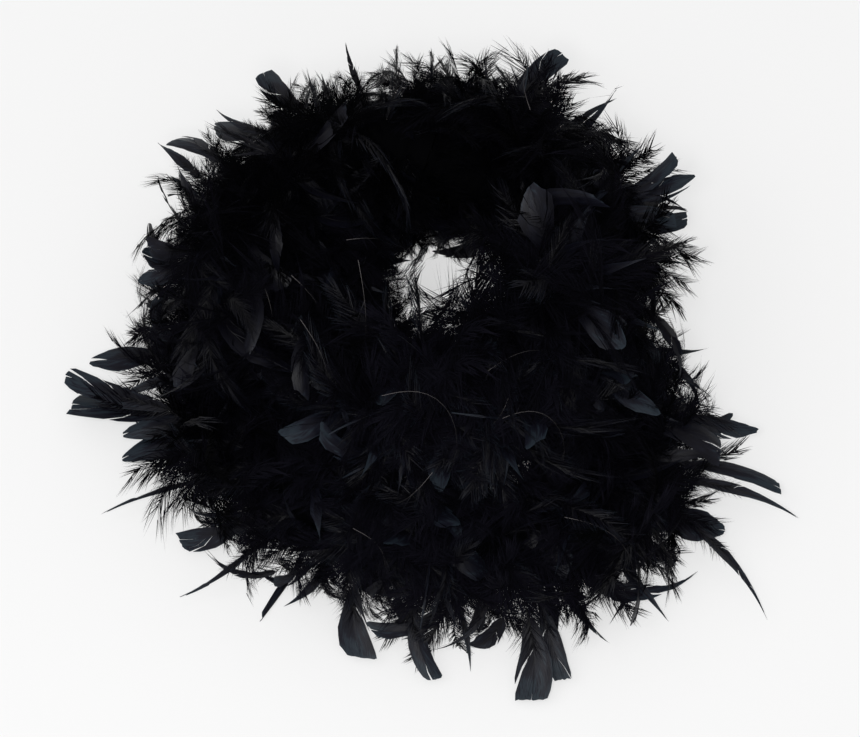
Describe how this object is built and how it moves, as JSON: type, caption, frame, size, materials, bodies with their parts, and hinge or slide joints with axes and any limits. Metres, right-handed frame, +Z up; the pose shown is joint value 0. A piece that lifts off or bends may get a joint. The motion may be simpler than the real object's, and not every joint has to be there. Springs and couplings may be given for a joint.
{
  "type": "feather boa",
  "caption": "Fluffy black feather boa lying in a loose two-turn heap: packed down on a core cord, with flat and curled feathers standing out and a hanging loop at each end.",
  "frame": {"origin": "on the table the boa lies on, under the middle of its box", "axes": "+X to the right across the heap, +Y to the back, +Z up off the table"},
  "size_m": [0.6307, 0.5617, 0.232],
  "materials": {
    "down": "soft matt black down with a faint blue cast",
    "flat_feathers": "blue-black feather vane with a low satin sheen",
    "core_cord": "matt twisted string",
    "whipping_thread": "matt waxed thread",
    "loop_cord": "matt thin cord"
  },
  "bodies": {
    "coil": {"core_cord_coil": "core_cord", "feathers_02": "flat_feathers", "feathers_03": "flat_feathers", "feathers_04": "flat_feathers", "feathers_05": "flat_feathers", "feathers_06": "flat_feathers", "feathers_07": "flat_feathers", "feathers_08": "flat_feathers", "feathers_09": "flat_feathers", "feathers_10": "flat_feathers", "feathers_11": "flat_feathers", "feathers_12": "flat_feathers", "feathers_13": "flat_feathers", "plume_02": "down", "plume_03": "down", "plume_04": "down", "plume_05": "down", "plume_06": "down", "plume_07": "down", "plume_08": "down", "plume_09": "down", "plume_10": "down", "plume_11": "down", "plume_12": "down", "plume_13": "down"},
    "low_tail": {"core_cord_low_tail": "core_cord", "feathers_01": "flat_feathers", "low_knot": "core_cord", "low_whipping": "whipping_thread", "plume_01": "down"},
    "top_strand": {"core_cord_top_strand": "core_cord", "feathers_14": "flat_feathers", "plume_14": "down"},
    "top_link": {"core_cord_top_link": "core_cord", "feathers_15": "flat_feathers", "plume_15": "down"},
    "top_tail": {"core_cord_top_tail": "core_cord", "feathers_16": "flat_feathers", "plume_16": "down", "top_knot": "core_cord", "top_whipping": "whipping_thread"},
    "low_loop": {"low_hanging_loop": "loop_cord"},
    "top_loop": {"top_hanging_loop": "loop_cord"}
  },
  "joints": [
    {"name": "low_tail_swing", "type": "hinge", "parent": "coil", "child": "low_tail", "pos_m": [-0.15619, -0.00658, 0.036], "axis": [0, 0, 1], "range_deg": [0, 30]},
    {"name": "top_strand_lift", "type": "hinge", "parent": "coil", "child": "top_strand", "pos_m": [0.07106, 0.13119, 0.11574], "axis": [0.6616, 0.7498, 0], "range_deg": [0, 25]},
    {"name": "top_link_lift", "type": "hinge", "parent": "top_strand", "child": "top_link", "pos_m": [-0.00862, 0.16371, 0.1533], "axis": [0.2213, 0.9752, 0], "range_deg": [0, 30]},
    {"name": "top_tail_lift", "type": "hinge", "parent": "top_link", "child": "top_tail", "pos_m": [-0.12468, 0.14751, 0.14368], "axis": [-0.5233, 0.8521, 0], "range_deg": [0, 50]},
    {"name": "low_loop_swing", "type": "hinge", "parent": "low_tail", "child": "low_loop", "pos_m": [-0.13191, 0.16578, 0.036], "axis": [0.8727, -0.4882, 0], "range_deg": [-30, 70]},
    {"name": "top_loop_swing", "type": "hinge", "parent": "top_tail", "child": "top_loop", "pos_m": [-0.1687, -0.00668, 0.10895], "axis": [-0.9777, -0.2101, 0], "range_deg": [-30, 70]}
  ]
}
